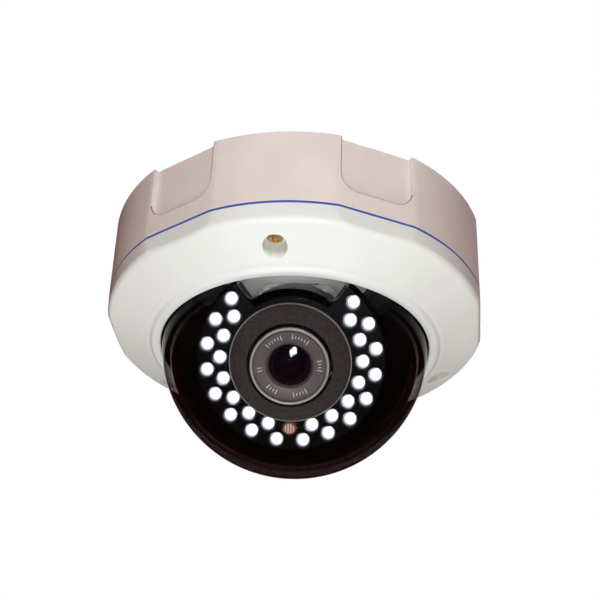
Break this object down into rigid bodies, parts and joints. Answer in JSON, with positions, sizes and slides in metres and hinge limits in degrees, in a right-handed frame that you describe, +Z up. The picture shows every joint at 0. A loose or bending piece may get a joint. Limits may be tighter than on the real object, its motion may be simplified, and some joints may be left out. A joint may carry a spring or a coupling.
{
  "type": "dome security camera",
  "caption": "Ceiling dome camera with a smoked bubble, a faceted base and cover, and a pan, tilt and rotate camera head with an infrared lamp ring.",
  "frame": {"origin": "centre of the base's ceiling mounting face", "axes": "+Z up into the ceiling, -Y toward the front cover screw, +X to the right seen from the front"},
  "size_m": [0.142, 0.1459, 0.0965],
  "materials": {
    "body_paint": "fine-textured off-white powder coat on die-cast aluminium",
    "cover_paint": "glossy off-white paint on die-cast aluminium",
    "smoked_plastic": "smoked polycarbonate, polished",
    "blue_gasket": "blue silicone sheet",
    "black_rubber": "matte black rubber",
    "brass": "yellow-plated steel screw",
    "steel": "zinc-plated steel",
    "green_board": "green circuit board",
    "black_board": "black circuit board",
    "white_plastic": "natural nylon connector",
    "grey_plastic": "grey moulded plastic",
    "dark_plastic": "black moulded plastic, fine texture",
    "gloss_black": "black ABS, half gloss",
    "gimbal_steel": "grey-painted pressed steel",
    "lamp_resin": "clear epoxy lamp",
    "sensor_amber": "ceramic disc with a resin coat",
    "lens_black": "black anodised aluminium",
    "rim_metal": "grey anodised aluminium, turned edge",
    "coated_glass": "coated optical glass",
    "chip": "image chip under a cover glass"
  },
  "bodies": {
    "housing": {"base_housing": "body_paint", "conduit_plug": "body_paint", "cable_grommet": "black_rubber", "seam_gasket": "blue_gasket", "cover_ring": "cover_paint", "cover_screws": "brass", "dome_bubble": "smoked_plastic", "dome_gasket": "black_rubber", "dome_retainer": "steel", "retainer_screws": "steel", "main_board": "green_board", "main_board_screws": "steel", "cable_sockets": "white_plastic", "board_cover": "grey_plastic", "pan_retainer": "grey_plastic", "pan_retainer_screws": "steel"},
    "pan_stage": {"pan_ring": "grey_plastic", "left_arm": "gimbal_steel", "right_arm": "gimbal_steel", "arm_screws": "steel"},
    "tilt_stage": {"cradle": "dark_plastic", "tilt_screws": "steel"},
    "camera_head": {"rotor": "dark_plastic", "rotor_clip": "steel", "lens_mount": "dark_plastic", "sensor_board": "green_board", "image_sensor": "chip", "sensor_screws": "steel", "board_posts": "brass", "board_header": "white_plastic", "video_board": "green_board", "video_socket": "white_plastic", "led_posts": "brass", "led_board": "black_board", "led_lamps": "lamp_resin", "light_sensor": "sensor_amber", "led_mask": "gloss_black", "light_shield": "black_rubber", "lens_barrel": "lens_black"},
    "zoom_stage": {"zoom_ring": "lens_black", "zoom_lock": "steel"},
    "focus_stage": {"focus_ring": "lens_black", "focus_lock": "steel", "lens_rim": "rim_metal", "front_glass": "coated_glass"}
  },
  "joints": [
    {"name": "pan", "type": "hinge", "parent": "housing", "child": "pan_stage", "pos_m": [0, 0, -0.009], "axis": [0, 0, 1], "range_deg": [-178.7, 171.3]},
    {"name": "tilt", "type": "hinge", "parent": "pan_stage", "child": "tilt_stage", "pos_m": [0, 0, -0.043], "axis": [0.9979, 0.0645, 0], "range_deg": [-31.7, 43.3]},
    {"name": "image_rotation", "type": "hinge", "parent": "tilt_stage", "child": "camera_head", "pos_m": [0, 0, -0.043], "axis": [0.0443, -0.6844, -0.7278], "range_deg": [-90, 90]},
    {"name": "zoom", "type": "hinge", "parent": "camera_head", "child": "zoom_stage", "pos_m": [0, 0, -0.043], "axis": [0.0443, -0.6844, -0.7278], "range_deg": [-40, 40]},
    {"name": "focus", "type": "hinge", "parent": "camera_head", "child": "focus_stage", "pos_m": [0, 0, -0.043], "axis": [0.0443, -0.6844, -0.7278], "range_deg": [-40, 40]}
  ]
}
